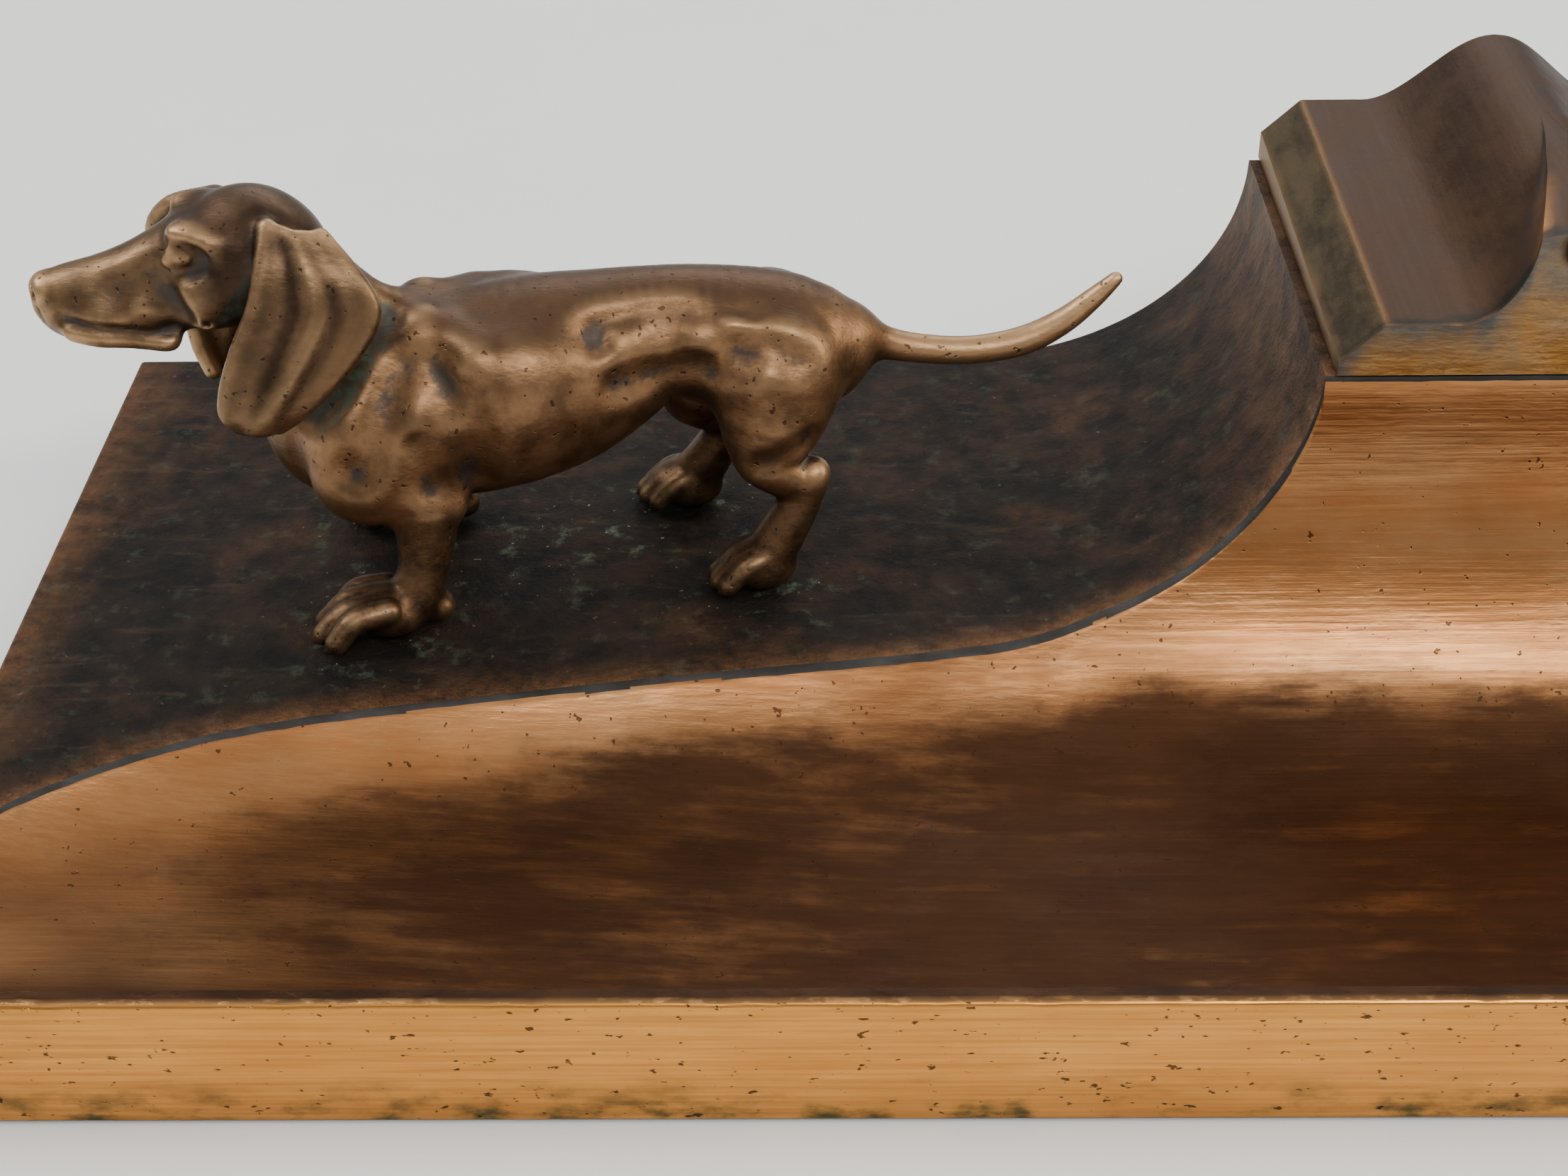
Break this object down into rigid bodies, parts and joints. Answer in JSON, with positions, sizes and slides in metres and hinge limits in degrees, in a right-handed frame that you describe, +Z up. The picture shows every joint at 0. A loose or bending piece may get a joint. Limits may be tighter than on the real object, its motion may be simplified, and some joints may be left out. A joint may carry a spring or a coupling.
{
  "type": "desk inkstand",
  "caption": "Cast bronze desk inkstand with a pen tray, a shelf carrying a standing dachshund, and a hinged lid over a glass ink liner.",
  "frame": {"origin": "centre of the footprint, on the surface that the inkstand stands on", "axes": "+X along the length towards the ink well, +Y from the front face to the hinged back, +Z up"},
  "size_m": [0.228, 0.1322, 0.0692],
  "materials": {
    "patinated_bronze": "brushed copper-brown bronze with dark patina",
    "rubbed_bronze": "satin brown bronze rubbed bright on its ridges",
    "hinge_brass": "dull brass",
    "screw_steel": "dull steel",
    "liner_glass": "clear pressed glass",
    "board_wood": "stained thin board",
    "green_baize": "felted wool"
  },
  "bodies": {
    "stand": {"baize_pad": "green_baize", "base_casting": "patinated_bronze", "board_screw_1": "screw_steel", "board_screw_2": "screw_steel", "board_screw_3": "screw_steel", "board_screw_4": "screw_steel", "bottom_board": "board_wood", "dog_body": "rubbed_bronze", "dog_ear_left": "rubbed_bronze", "dog_ear_right": "rubbed_bronze", "dog_head": "rubbed_bronze", "dog_screw_1": "screw_steel", "dog_screw_2": "screw_steel", "dog_tail": "rubbed_bronze", "dog_washer_1": "screw_steel", "dog_washer_2": "screw_steel", "hinge_base_leaf": "hinge_brass", "hinge_base_screw_1": "screw_steel", "hinge_base_screw_2": "screw_steel", "hinge_base_screw_3": "screw_steel", "hinge_pin": "screw_steel"},
    "lid": {"lid_casting": "patinated_bronze", "lid_thumb_piece": "patinated_bronze", "hinge_lid_leaf": "hinge_brass", "hinge_lid_screw_1": "screw_steel", "hinge_lid_screw_2": "screw_steel"},
    "liner": {"ink_liner": "liner_glass"}
  },
  "joints": [
    {"name": "lid_hinge", "type": "hinge", "parent": "stand", "child": "lid", "pos_m": [0.0712, 0.06423, 0.04675], "axis": [-1, 0, 0], "range_deg": [0, 105]},
    {"name": "liner_lift", "type": "slide", "parent": "stand", "child": "liner", "axis": [0, 0, 1], "range_m": [0, 0.002]}
  ]
}
